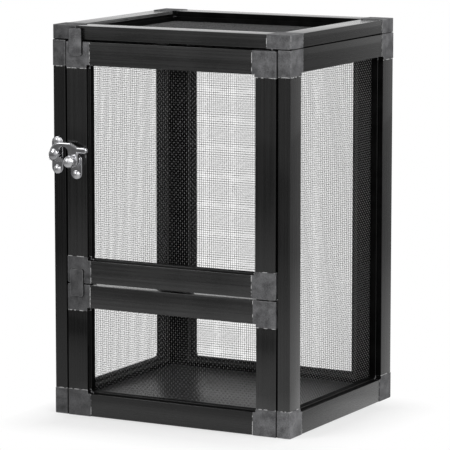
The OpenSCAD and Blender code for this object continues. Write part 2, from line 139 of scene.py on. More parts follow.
class CapPart(IntEnum):
    """The material slots of the corner caps: plain, painted edge highlights, painted shade, and painted
    light or shade on whole caps.
    """

    PLAIN = 0
    WORN = 1
    INSIDE = 2
    TINTED = 3


class Slot(Enum):
    """The record's material slots."""

    RAIL = "black_anodised"
    CAP = "cap_plastic"
    MESH = "mesh_wire"
    SPLINE = "spline_rubber"
    FLOOR = "floor_plastic"
    DOWEL = "dowel_plastic"
    CHROME = "chrome"
    PIN = "pin_steel"


# Node graphs


class Graph:
    """A node tree under construction, for a material, the world or a mesh."""

    def __init__(self, tree: bpy.types.NodeTree) -> None:
        """Take over a node tree."""
        self.tree = tree

    def node(self, kind: str, inputs: dict | None = None, **settings: object) -> bpy.types.Node:
        """Add a node.

        Args:
            kind: Blender's name of the node type.
            inputs: Values or output sockets by input name or number.
            **settings: Properties of the node itself.

        Returns:
            The new node.
        """
        made = self.tree.nodes.new(kind)
        for name, value in settings.items():
            setattr(made, name, value)
        for name, value in (inputs or {}).items():
            self.feed(made.inputs[name], value)
        return made

    def feed(self, socket: Socket, value: object) -> None:
        """Link an output socket to an input, or set the input's value."""
        if isinstance(value, Socket):
            self.tree.links.new(value, socket)
        else:
            socket.default_value = value

    def math(self, operation: str, *values: object) -> Socket:
        """Add a Math node for numbers or sockets and return its result."""
        return self.node("ShaderNodeMath", dict(enumerate(values)), operation=operation).outputs[0]

    def vector(self, operation: str, *values: object) -> bpy.types.Node:
        """Add a Vector Math node for vectors or sockets."""
        return self.node("ShaderNodeVectorMath", dict(enumerate(values)), operation=operation)

    def blend(self, one: Socket, other: Socket, share: float) -> Socket:
        """Add two patterns, the first with a share of the whole and the other with the rest."""
        rest = self.math("MULTIPLY", other, 1.0 - share)
        return self.math("ADD", self.math("MULTIPLY", one, share), rest)

    def spread(self, value: Socket, low: float, high: float, to_low: float, to_high: float) -> Socket:
        """Map a value from the span of low to high to another span, clamped."""
        inputs = {"Value": value, "From Min": low, "From Max": high, "To Min": to_low, "To Max": to_high}
        return self.node("ShaderNodeMapRange", inputs).outputs["Result"]


@dataclass(frozen=True)
class Noise:
    """A noise pattern: features per metre, octaves, and a factor on each axis that draws it out."""

    scale: float
    detail: float = 2.0
    stretch: Triple = (1.0, 1.0, 1.0)


class Surface(Graph):
    """The nodes of one material, on Object coordinates."""

    def __init__(self, name: str) -> None:
        """Start a material with a Principled shader.

        Args:
            name: The material's name.
        """
        self.material = bpy.data.materials.new(name)
        self.material.use_nodes = True
        super().__init__(self.material.node_tree)
        self.shader = self.tree.nodes["Principled BSDF"]
        self.coords = self.node("ShaderNodeTexCoord").outputs["Object"]

    def noise(self, noise: Noise) -> Socket:
        """Add a noise pattern.

        Args:
            noise: What it looks like.

        Returns:
            The pattern's socket, from 0 to 1.
        """
        place = self.node("ShaderNodeMapping", {"Vector": self.coords, "Scale": noise.stretch})
        inputs = {"Vector": place.outputs["Vector"], "Scale": noise.scale, "Detail": noise.detail}
        return self.node("ShaderNodeTexNoise", inputs).outputs["Fac"]

    def shade(self, fac: Socket, ramp: Span, dark: Triple, light: Triple) -> Socket:
        """Mix two colours by a pattern.

        Args:
            fac: The pattern's socket.
            ramp: Pattern values that give the dark and the light colour.
            dark: Linear RGB.
            light: Linear RGB.

        Returns:
            The colour's socket.
        """
        made = self.node("ShaderNodeValToRGB", {"Fac": fac})
        for stop, position, tone in zip(made.color_ramp.elements, ramp, (dark, light)):
            stop.position = position
            stop.color = (*tone, 1)
        return made.outputs["Color"]

    def bump(self, height: Socket, depth: float, strength: float) -> None:
        """Give the shader a bump from a pattern, of a depth in metres and a strength up to 1."""
        inputs = {"Height": height, "Distance": depth, "Strength": strength}
        self.set("Normal", self.node("ShaderNodeBump", inputs).outputs["Normal"])

    def set(self, name: str, value: object) -> None:
        """Set or link one input of the shader."""
        self.feed(self.shader.inputs[name], value)


class MeshTree(Graph):
    """A Geometry Nodes tree with named inputs."""

    def __init__(self, name: str) -> None:
        """Start an empty tree.

        Args:
            name: The tree's name.
        """
        super().__init__(bpy.data.node_groups.new(name, "GeometryNodeTree"))
        self.tree.interface.new_socket("Geometry", in_out="OUTPUT", socket_type="NodeSocketGeometry")
        self.entry = self.node("NodeGroupInput")
        self.exit = self.node("NodeGroupOutput")
        self.ids: dict[str, str] = {}

    def take(self, name: str, kind: str) -> Socket:
        """Add a named input.

        Args:
            name: The input's name.
            kind: Float, Int, Material, Object or Geometry.

        Returns:
            The socket that carries the input.
        """
        item = self.tree.interface.new_socket(name, in_out="INPUT", socket_type=f"NodeSocket{kind}")
        self.ids[name] = item.identifier
        return self.entry.outputs[name]

    def end(self, geometry: Socket, material: Socket) -> None:
        """Realize the result, give it its material and put it out.

        Args:
            geometry: The result's socket.
            material: The material's socket.
        """
        real = self.node("GeometryNodeRealizeInstances", {"Geometry": geometry})
        painted = self.node("GeometryNodeSetMaterial", {"Geometry": real.outputs[0], "Material": material})
        self.feed(self.exit.inputs["Geometry"], painted.outputs[0])

    def run(self, name: str, values: dict[str, object], base: bpy.types.Mesh | None = None) -> Piece:
        """Run the tree once and keep its result.

        Args:
            name: Name of the new object.
            values: The inputs by name.
            base: Mesh that the tree starts from, if it takes one.

        Returns:
            An object with the plain mesh.
        """
        made = add_object(name, base or bpy.data.meshes.new(name))
        modifier = made.modifiers.new(self.tree.name, "NODES")
        modifier.node_group = self.tree
        for key, value in values.items():
            modifier[self.ids[key]] = value
        keep_evaluated(made)
        return made


# Finishes


def scaled(tone: Triple, factor: float) -> Triple:
    """A colour times a factor."""
    return tuple(part * factor for part in tone)


@dataclass(frozen=True, kw_only=True)
class Finish:
    """A finish of the cage's surfaces, which makes one material.

    A pattern mixes the dark and the light colour between the two values of ramp, and over its usual
    values it draws the roughness from the first to the second value of blur. The grain gives the bump.
    """

    name: str
    dark: Triple
    light: Triple
    pattern: Noise
    ramp: Span = (0.35, 0.65)
    blur: Span
    grain: Noise
    depth: float = 0.02 * MM
    relief: float = 0.4
    specular: float = 0.5
    metallic: float = 0.0
    usual: ClassVar[Span] = (0.3, 0.7)

    @cache
    def material(self) -> bpy.types.Material:
        """The finish's material, made once."""
        made = Surface(self.name)
        pattern, grain = made.noise(self.pattern), made.noise(self.grain)
        tint, wear = self.mixes(made, pattern, grain)
        made.set("Base Color", made.shade(tint, self.ramp, self.dark, self.light))
        made.set("Roughness", made.spread(wear, *self.usual, *self.blur))
        made.set("Metallic", self.metallic)
        made.set("Specular IOR Level", self.specular)
        made.bump(grain, self.depth, self.relief)
        self.extras(made, tint)
        return made.material

    def mixes(self, made: Surface, pattern: Socket, grain: Socket) -> tuple[Socket, Socket]:
        """What mixes the colours and what draws the roughness: the pattern, unless a finish differs."""
        return pattern, pattern

    def extras(self, made: Surface, tint: Socket) -> None:
        """Set what only one finish has."""


@dataclass(frozen=True, kw_only=True)
class AnodisedRail(Finish):
    """Satin black anodised extrusion with fine die lines along it."""

    name: str = "black_anodised"
    dark: Triple = (0.0022, 0.0022, 0.0022)
    light: Triple = (0.006, 0.006, 0.006)
    pattern: Noise = Noise(34.0, 3.0)
    ramp: Span = (0.4, 0.62)
    blur: Span = (0.2, 0.34)
    grain: Noise = Noise(760.0, 3.0)
    depth: float = 0.008 * MM
    line_share: float = 0.7
    line_stretch: ClassVar[float] = 0.008
    coat: float = 1.0
    coat_blur: float = 0.07

    @classmethod
    def of(cls, axis: Axis, shade: RailShade) -> "AnodisedRail":
        """The finish of a rail.

        Args:
            axis: The axis that the rail runs along.
            shade: Its factors on colour and specular level.

        Returns:
            The finish.
        """
        factor, specular = shade.value
        stretch = tuple(cls.line_stretch if a is axis else 1.0 for a in Axis)
        return cls(
            name=f"{cls.name}_{axis.name}_{shade.name}".lower(),
            dark=scaled(cls.dark, factor),
            light=scaled(cls.light, factor),
            grain=Noise(cls.grain.scale, cls.grain.detail, stretch),
            specular=specular,
        )

    def mixes(self, made: Surface, pattern: Socket, grain: Socket) -> tuple[Socket, Socket]:
        """The die lines and clouds, for both."""
        both = made.blend(grain, pattern, self.line_share)
        return both, both

    def extras(self, made: Surface, tint: Socket) -> None:
        """Set the clear skin of the anodising."""
        made.set("Coat Weight", self.coat)
        made.set("Coat Roughness", self.coat_blur)


@dataclass(frozen=True, kw_only=True)
class PaintedShade(Finish):
    """Painted shade: near-black matte colour for the rails' inner faces, grooves, lips and shaded edges, and
    for cap faces in shade.
    """

    name: str = "matte_rail_inside"
    dark: Triple = (0.0008, 0.0008, 0.0008)
    light: Triple = (0.003, 0.003, 0.003)
    pattern: Noise = Noise(120.0, 4.0)
    blur: Span = (0.5, 0.62)
    grain: Noise = Noise(1500.0)
    specular: float = 0.05


@dataclass(frozen=True, kw_only=True)
class BareCut(Finish):
    """The rail's cut end: bare aluminium where the saw broke through the black."""

    name: str = "bare_cut_aluminium"
    dark: Triple = (0.03, 0.03, 0.03)
    light: Triple = (0.6, 0.6, 0.6)
    pattern: Noise = Noise(300.0, 1.0)
    ramp: Span = (0.44, 0.54)
    blur: Span = (0.35, 0.6)
    scratches: Noise = Noise(2600.0)
    grain: Noise = Noise(3200.0)
    relief: float = 1.0
    bare_metal: float = 0.3

    def mixes(self, made: Surface, pattern: Socket, grain: Socket) -> tuple[Socket, Socket]:
        """The flakes for the colours and the saw's scratches for the roughness."""
        return pattern, made.noise(self.scratches)

    def extras(self, made: Surface, tint: Socket) -> None:
        """Let the bare flakes shine as metal."""
        made.set("Metallic", made.spread(tint, *self.ramp, 0.0, self.bare_metal))


@dataclass(frozen=True, kw_only=True)
class CapPlastic(Finish):
    """Matte grey moulding with a mottled skin."""

    name: str = "mottled_cap_plastic"
    dark: Triple = (0.042, 0.042, 0.044)
    light: Triple = (0.145, 0.145, 0.15)
    pattern: Noise = Noise(150.0, 4.0)
    ramp: Span = (0.36, 0.66)
    blur: Span = (0.5, 0.68)
    grain: Noise = Noise(1500.0, 3.0)
    depth: float = 0.03 * MM
    relief: float = 0.6
    specular: float = 0.4
    grain_share: float = 0.45

    @classmethod
    def of(cls, shade: CapPaintedLight) -> "CapPlastic":
        """The finish with its colour scaled for painted shade or painted light."""
        name = f"{cls.name}_{shade.name}".lower()
        return cls(name=name, dark=scaled(cls.dark, shade.value), light=scaled(cls.light, shade.value))

    def mixes(self, made: Surface, pattern: Socket, grain: Socket) -> tuple[Socket, Socket]:
        """The grain and blotches for the colours, and the blotches for the roughness."""
        return made.blend(grain, pattern, self.grain_share), pattern


@dataclass(frozen=True, kw_only=True)
class CapEdgeHighlight(Finish):
    """Painted highlights on the caps' rounded edges, paler than their faces."""

    name: str = "worn_cap_edge"
    dark: Triple = (0.09, 0.09, 0.093)
    light: Triple = (0.2, 0.2, 0.205)
    pattern: Noise = Noise(420.0, 3.0)
    ramp: Span = (0.38, 0.62)
    blur: Span = (0.6, 0.42)
    grain: Noise = Noise(1800.0)
    relief: float = 0.5


@dataclass(frozen=True, kw_only=True)
class WireCoat(Finish):
    """Dark coated wire with painted glints: pale colour on the upright wires' outer knuckles, where they
    cross over another wire.
    """

    name: str = "coated_mesh_wire"
    dark: Triple = (0.004, 0.004, 0.0042)
    # The light colour is the painted glint on the knuckles
    light: Triple = (0.55, 0.55, 0.555)
    pattern: Noise = Noise(420.0, 3.0)
    ramp: Span = (0.16, 1.0)
    blur: Span = (0.4, 0.28)
    grain: Noise = Noise(6000.0)
    depth: float = 0.01 * MM
    specular: float = 0.3
    glint_share: float = 0.7

    def mixes(self, made: Surface, pattern: Socket, grain: Socket) -> tuple[Socket, Socket]:
        """The painted knuckle glints over the pattern for the colours, and the pattern for the roughness."""
        knuckle = made.node("ShaderNodeAttribute", attribute_name=KNUCKLE_GLINT).outputs["Fac"]
        return made.blend(made.math("MAXIMUM", knuckle, 0.0), pattern, self.glint_share), pattern


@dataclass(frozen=True, kw_only=True)
class SplineRubber(Finish):
    """Black rubber cord with a dusty bloom."""

    name: str = "spline_rubber"
    dark: Triple = (0.01, 0.01, 0.01)
    light: Triple = (0.028, 0.028, 0.027)
    pattern: Noise = Noise(240.0, 4.0)
    ramp: Span = (0.35, 0.7)
    blur: Span = (0.62, 0.8)
    grain: Noise = Noise(2200.0, 3.0)
    depth: float = 0.05 * MM
    relief: float = 0.6


@dataclass(frozen=True, kw_only=True)
class FloorPlastic(Finish):
    """Dark semi-gloss sheet of the floor, finely grained and lightly scuffed."""

    name: str = "floor_sheet"
    dark: Triple = (0.026, 0.026, 0.0265)
    light: Triple = (0.036, 0.036, 0.0367)
    pattern: Noise = Noise(60.0, 5.0)
    ramp: Span = (0.3, 0.7)
    blur: Span = (0.28, 0.35)
    grain: Noise = Noise(2400.0)
    depth: float = 0.004 * MM
    specular: float = 0.42


@dataclass(frozen=True, kw_only=True)
class ChromePlate(Finish):
    """Bright chrome on cast metal, with a faint haze and polishing marks."""

    name: str = "chrome_plate_16"
    dark: Triple = (0.55, 0.55, 0.57)
    light: Triple = (0.7, 0.7, 0.72)
    pattern: Noise = Noise(260.0, 4.0)
    blur: Span = (0.16, 0.11)
    grain: Noise = Noise(500.0)
    depth: float = 0.006 * MM
    relief: float = 0.3
    metallic: float = 1.0


@dataclass(frozen=True, kw_only=True)
class SoftChrome(ChromePlate):
    """The paler, less polished chrome of the rivets and the post."""

    name: str = "chrome_plate_34"
    dark: Triple = (0.72, 0.72, 0.74)
    light: Triple = (0.85, 0.85, 0.87)
    blur: Span = (0.34, 0.27)


@dataclass(frozen=True, kw_only=True)
class DrawnSteel(Finish):
    """Bright drawn steel of the hinge pins, ringed where they turn."""

    name: str = "drawn_pin_steel"
    dark: Triple = (0.42, 0.42, 0.43)
    light: Triple = (0.66, 0.66, 0.67)
    pattern: Noise = Noise(2500.0, 2.0, (0.05, 0.05, 1.0))
    blur: Span = (0.2, 0.36)
    grain: Noise = Noise(2500.0, 2.0, (0.05, 0.05, 1.0))
    depth: float = 0.01 * MM
    relief: float = 0.5
    metallic: float = 1.0


@dataclass(frozen=True, kw_only=True)
class DowelNylon(Finish):
    """Grey nylon of the dowels and the washer."""

    name: str = "dowel_nylon"
    dark: Triple = (0.09, 0.09, 0.09)
    light: Triple = (0.15, 0.15, 0.15)
    pattern: Noise = Noise(500.0, 3.0)
    blur: Span = (0.45, 0.6)
    grain: Noise = Noise(3000.0)


# Mesh helpers


def add_object(name: str, mesh: bpy.types.Mesh) -> Piece:
    """Put a mesh into the scene.

    Args:
        name: The object's name.
        mesh: Its mesh, with its place in the points.

    Returns:
        The new object, at the origin.
    """
    made = bpy.data.objects.new(name, mesh)
    bpy.context.scene.collection.objects.link(made)
    return made


def keep_evaluated(obj: Piece) -> None:
    """Turn an object's modifiers into plain mesh.

    Args:
        obj: The object.
    """
    bpy.context.view_layer.update()
    evaluated = obj.evaluated_get(bpy.context.evaluated_depsgraph_get())
    mesh = bpy.data.meshes.new_from_object(evaluated)
    obj.modifiers.clear()
    old = obj.data
    obj.data = mesh
    bpy.data.meshes.remove(old)


def smooth(mesh: bpy.types.Mesh, degrees: float = 30.0) -> None:
    """Shade a mesh smooth, with sharp edges above an angle."""
    mesh.polygons.foreach_set("use_smooth", [True] * len(mesh.polygons))
    mesh.set_sharp_from_angle(angle=math.radians(degrees))


def from_bmesh(name: str, shape: bmesh.types.BMesh) -> Piece:
    """Turn a bmesh into a smoothly shaded object and free it.

    Args:
        name: The object's name.
        shape: The shape, whose normals are recalculated.

    Returns:
        The new object.
    """
    bmesh.ops.recalc_face_normals(shape, faces=shape.faces)
    mesh = bpy.data.meshes.new(name)
    shape.to_mesh(mesh)
    shape.free()
    smooth(mesh)
    return add_object(name, mesh)


def soft_copy(node: str, prefix: str, width: float, segments: int = 3) -> Piece:
    """Copy a CAD node's solid, merge its triangles into flat faces and round its edges.

    Args:
        node: The node's name.
        prefix: What the copy's name starts with.
        width: Width of the rounding in metres.
        segments: Facets of the rounding.

    Returns:
        The copy.
    """
    merge = 0.002 * MM
    flat, sharp = math.radians(0.5), math.radians(40.0)
    source = frame["nodes"][node].data
    made = add_object(f"{prefix}_{node}", bpy.data.meshes.new(f"{prefix}_{node}"))
    faces = [tuple(p.vertices) for p in source.polygons]
    made.data.from_pydata([v.co for v in source.vertices], [], faces)
    shape = bmesh.new()
    shape.from_mesh(made.data)
    bmesh.ops.remove_doubles(shape, verts=shape.verts, dist=merge)
    bmesh.ops.dissolve_limit(shape, angle_limit=flat, verts=shape.verts, edges=shape.edges)
    shape.to_mesh(made.data)
    shape.free()
    bevel = made.modifiers.new("rounding", "BEVEL")
    bevel.width = width
    bevel.segments = segments
    bevel.limit_method = "ANGLE"
    bevel.angle_limit = sharp
    bevel.use_clamp_overlap = False
    keep_evaluated(made)
    smooth(made.data)
    return made


def lathe(name: str, profile: Sequence[Span], base: Vector, axis: Vector, steps: int) -> Piece:
    """Turn a profile about an axis.

    Args:
        name: The object's name.
        profile: Radius and height of each point, from the base up, starting and ending at radius 0.
        base: Where the axis starts.
        axis: Its direction.
        steps: Points round the axis.

    Returns:
        The turned object.
    """
    turn = axis.to_track_quat("Z", "Y").to_matrix()
    shape = bmesh.new()
    rings = []
    for radius, height in profile:
        angles = [2 * math.pi * i / steps for i in range(steps if radius else 1)]
        spots = [Vector((radius * math.cos(a), radius * math.sin(a), height)) for a in angles]
        rings.append([shape.verts.new(base + turn @ spot) for spot in spots])
    for low, high in zip(rings, rings[1:]):
        for i in range(steps):
            j = (i + 1) % steps
            corners = [low[i % len(low)], low[j % len(low)], high[j % len(high)], high[i % len(high)]]
            shape.faces.new(dict.fromkeys(corners))
    return from_bmesh(name, shape)


def arc(centre: Span, radius: float, start: float, stop: float, steps: int) -> list[Span]:
    """Points of a circular arc in order, from one angle to another in degrees."""
    angles = [math.radians(start + (stop - start) * i / steps) for i in range(steps + 1)]
    return [(centre[0] + radius * math.cos(a), centre[1] + radius * math.sin(a)) for a in angles]


def put(obj: Piece, body: str, slot: Slot, node: str, *finishes: Finish) -> None:
    """Dress a finished piece and fix it to its body.

    Args:
        obj: The piece.
        body: The CAD body that it moves with.
        slot: The record's material slot; not used.
        node: The CAD node that it stands for.
        *finishes: Its finishes, in the order of its material slots.
    """
    if not obj.data.materials:
        for finish in finishes:
            obj.data.materials.append(finish.material())
    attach(obj, body)
    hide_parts(node)
    log.info("%s rides on %s, %d faces", obj.name, body, len(obj.data.polygons))


# Panels


@dataclass(frozen=True)
class RailSection:
    """Section of the screen-frame extrusion, measured in from its edge and its outer face."""

    face: float = 17.4 * MM
    thick: float = 10.4 * MM
    edge_round: float = 0.2 * MM
    inner_round: float = 0.3 * MM
    back_round: float = 0.45 * MM
    lip_w: float = 1.2 * MM
    lip_t: float = 6.0 * MM
    lip_round: float = 0.15 * MM
    groove_w: float = 3.2 * MM
    groove_d: float = 3.4 * MM
    groove_wall: float = 1.4 * MM
    wall: float = 1.2 * MM
    mesh_t: float = 0.6 * MM
    proud: float = 0.3 * MM
    cap_len: float = 20.4 * MM
    cut_band: float = 0.5 * MM
    cut_drop: float = 0.12 * MM
    # Depth on the inner edge that parts its painted shade from its lit part
    edge_split: float = 2.4 * MM
    hair: float = 0.01 * MM
    arc_steps: int = 5

    @property
    def shelf(self) -> float:
        """The depth of the lip's outer face."""
        return self.thick - self.lip_t

    @property
    def lip_edge(self) -> float:
        """The lip's edge, where the mesh comes free."""
        return self.face + self.lip_w

    @property
    def groove_in(self) -> float:
        """The groove's wall towards the mesh."""
        return self.lip_edge - self.groove_wall

    @property
    def groove_out(self) -> float:
        """The groove's wall towards the rail's edge."""
        return self.groove_in - self.groove_w

    @property
    def groove_bottom(self) -> float:
        """The depth of the groove's bottom."""
        return self.thick - self.groove_d

    def outline(self) -> list[Span]:
        """The outer outline with its lip and groove, as points in order."""
        edge, inner = self.edge_round, self.inner_round
        lip, back = self.lip_round, self.back_round
        seat = self.thick - self.mesh_t
        steps = self.arc_steps
        return [
            *arc((edge, edge), edge, 180, 270, steps),
            *arc((self.face - inner, inner), inner, 270, 360, steps),
            (self.face, self.edge_split),
            (self.face, self.shelf),
            *arc((self.lip_edge - lip, self.shelf + lip), lip, 270, 360, steps),
            (self.lip_edge, seat),
            (self.groove_in, seat),
            (self.groove_in, self.groove_bottom),
            (self.groove_out, self.groove_bottom),
            (self.groove_out, self.thick),
            *arc((back, self.thick - back), back, 90, 180, steps),
        ]

    def is_shaded(self, points: Sequence[Span], *edges: float) -> bool:
        """Whether points of the outline lie where the rail gets painted shade.

        Args:
            points: The points, as distances in from the rail's edge and its outer face.
            *edges: Distances in from the rail's edge of the upright faces that get painted shade.

        Returns:
            True if all of them lie on the inner face, in the groove or on one of those faces.
        """
        hair = self.hair
        back = all(n >= self.groove_bottom - hair and a >= self.back_round - hair for a, n in points)
        return back or any(all(abs(a - edge) < hair for a, n in points) for edge in edges)

    def in_zone(self, points: Sequence[Span], zone: Span) -> bool:
        """Whether points of the outline lie on the inner edge between two depths."""
        low, high = zone[0] - self.hair, zone[1] + self.hair
        return all(abs(a - self.face) < self.hair and low <= n <= high for a, n in points)

    def hollow(self) -> list[Span]:
        """The outline of the hollow, tall beside the groove and low under it."""
        near, far = self.wall, self.face - self.wall
        step = self.groove_out - self.wall
        low, high = self.groove_bottom - self.wall, self.thick - self.wall
        return [(near, near), (far, near), (far, low), (step, low), (step, high), (near, high)]

    def cut_outline(self) -> list[Span]:
        """The outer outline drawn in a little, for the broken edge of a cut end."""
        points = [Vector(p) for p in self.outline()]
        drawn = []
        for i, spot in enumerate(points):
            ahead = (points[(i + 1) % len(points)] - spot).normalized()
            behind = (spot - points[i - 1]).normalized()
            inwards = Vector((-(ahead.y + behind.y), ahead.x + behind.x)).normalized()
            drawn.append(tuple(spot + inwards * self.cut_drop))
        return drawn


@dataclass(frozen=True)
class Place:
    """Where a panel stands: its low near outer corner, its directions and its size."""

    corner: Vector
    along: Vector
    inward: Vector
    upward: Vector
    width: float
    height: float

    def point(self, u: float, n: float, v: float) -> Vector:
        """The point at a distance along, into and up the panel."""
        return self.corner + self.along * u + self.inward * n + self.upward * v

    def matrix(self) -> Matrix:
        """The panel's frame, with X along it, Y into it and Z up it."""
        turn = Matrix((self.along, self.inward, self.upward)).transposed()
        return Matrix.Translation(self.corner) @ turn.to_4x4()


@dataclass(frozen=True)
class WovenMesh:
    """Plain woven wire cloth of 14 wires to the inch, made by a Geometry Nodes tree."""

    pitch: float = 25.4 / 14 * MM
    radius: float = 0.105 * MM
    sides: int = 4
    hem_points: int = 2
    slack: float = 0.5 * MM
    slack_scale: float = 90.0
    sharp: float = 120.0

    def tree(self) -> MeshTree:
        """Build the tree that weaves the two sets of wires.

        Returns:
            The tree, whose inputs are the counts, the spacings, the first wires' places, the hem
            and the material.
        """
        made = MeshTree("woven_mesh")
        counts = [made.take(f"Wires {way}", "Int") for way in ("along", "up")]
        pitches = [made.take(f"Spacing {way}", "Float") for way in ("along", "up")]
        names = ("First wire", "Hem edge", "Hem depth", "Level", "Wire radius")
        size = {name: made.take(name, "Float") for name in names}
        material = made.take("Material", "Material")
        joined = made.node("GeometryNodeJoinGeometry")
        for run in (Axis.Z, Axis.X):
            made.feed(joined.inputs[0], self.wires(made, run, counts, pitches, size))
        made.end(joined.outputs[0], material)
        return made

    def wires(
        self,
        made: MeshTree,
        run: Axis,
        counts: Sequence[Socket],
        pitches: Sequence[Socket],
        size: dict[str, Socket],
    ) -> Socket:
        """Weave one set of wires.

        Args:
            made: The tree.
            run: The axis that the wires run along, X or Z.
            counts: Sockets with the number of upright and of level wires.
            pitches: Sockets with the spacing of upright and of level wires.
            size: Sockets of the places that both sets share, by name.

        Returns:
            The socket with the wires' mesh.
        """
        calc, hem, upright = made.math, self.hem_points, run is Axis.Z
        own, other = (0, 1) if upright else (1, 0)
        crossings, spacing, start, edge = counts[other], pitches[other], size["First wire"], size["Hem edge"]
        points = calc("ADD", crossings, 2 * hem)
        line = made.node("GeometryNodeMeshLine", {"Count": points}, mode="OFFSET").outputs[0]
        path = made.node("GeometryNodeMeshToCurve", {"Mesh": line}).outputs[0]
        row = made.node("GeometryNodeMeshLine", {"Count": counts[own]}, mode="OFFSET").outputs[0]
        strung = made.node("GeometryNodeInstanceOnPoints", {"Points": row, "Instance": path}).outputs[0]
        real = made.node("GeometryNodeRealizeInstances", {"Geometry": strung}).outputs[0]
        index = made.node("GeometryNodeInputIndex").outputs[0]
        wire = calc("FLOOR", calc("DIVIDE", index, points))
        step = calc("SUBTRACT", calc("MODULO", index, points), hem)
        # Places along the wire: the hem's points lie at the frame's groove, the rest at the crossings
        last = calc("SUBTRACT", crossings, 1)
        inner = calc("ADD", start, calc("MULTIPLY", step, spacing))
        reach = calc("MULTIPLY_ADD", last, spacing, calc("MULTIPLY", start, 2))
        before = calc("LESS_THAN", step, -0.5)
        after = calc("GREATER_THAN", step, calc("ADD", last, 0.5))
        between = calc("SUBTRACT", 1, calc("ADD", before, after))
        at_end = calc("MULTIPLY", after, calc("SUBTRACT", reach, edge))
        at_hem = calc("MULTIPLY_ADD", before, edge, at_end)
        along = calc("ADD", calc("MULTIPLY", inner, between), at_hem)
        across = calc("MULTIPLY_ADD", wire, pitches[own], start)
        # Over one wire and under the next, then down into the groove at both ends
        odd = calc("FLOORED_MODULO", calc("ADD", wire, step), 2)
        wave = calc("MULTIPLY", calc("MULTIPLY_ADD", odd, -2, 1), 1.0 if upright else -1.0)
        sway = calc("MULTIPLY", calc("MULTIPLY", wave, size["Wire radius"]), between)
        first = calc("LESS_THAN", step, -1.5)
        final = calc("GREATER_THAN", step, calc("ADD", last, 1.5))
        drop = calc("MULTIPLY", calc("ADD", first, final), size["Hem depth"])
        level = calc("SUBTRACT", calc("ADD", size["Level"], sway), drop)
        u, v = (across, along) if upright else (along, across)
        spot = made.node("ShaderNodeCombineXYZ", {"X": u, "Y": level, "Z": v}).outputs[0]
        # The cloth is drawn a little unevenly in its own plane
        uneven = made.node("ShaderNodeTexNoise", {"Vector": spot, "Scale": self.slack_scale, "Detail": 1.0})
        centred = made.vector("SUBTRACT", uneven.outputs["Color"], (0.5, 0.5, 0.5)).outputs[0]
        flat = made.vector("MULTIPLY", centred, (self.slack, 0, self.slack)).outputs[0]
        drawn = made.vector("MULTIPLY", flat, between).outputs[0]
        inputs = {"Geometry": real, "Position": spot, "Offset": drawn}
        laid = made.node("GeometryNodeSetPosition", inputs).outputs[0]
        # The upright wires' outer knuckles are marked for a painted glint
        knuckle = calc("MULTIPLY", calc("MULTIPLY", wave, -1.0 if upright else 0.0), between)
        inputs = {"Geometry": laid, "Name": KNUCKLE_GLINT, "Value": knuckle}
        marked = made.node("GeometryNodeStoreNamedAttribute", inputs, data_type="FLOAT", domain="POINT")
        inputs = {"Resolution": self.sides, "Radius": size["Wire radius"]}
        ring = made.node("GeometryNodeCurvePrimitiveCircle", inputs).outputs[0]
        inputs = {"Curve": marked.outputs[0], "Profile Curve": ring, "Fill Caps": True}
        return made.node("GeometryNodeCurveToMesh", inputs).outputs[0]


@dataclass(frozen=True)
class CapMarks:
    """Limits that tell the faces of a corner cap apart, by depth and by how far they turn inwards."""

    slant: float = 0.96
    back_depth: float = 0.8
    back_turn: float = 0.3
    corner_turn: float = 0.5
    tab_depth: float = -0.05 * MM
    tab_turn: float = -0.8
    seam: float = 0.5 * MM


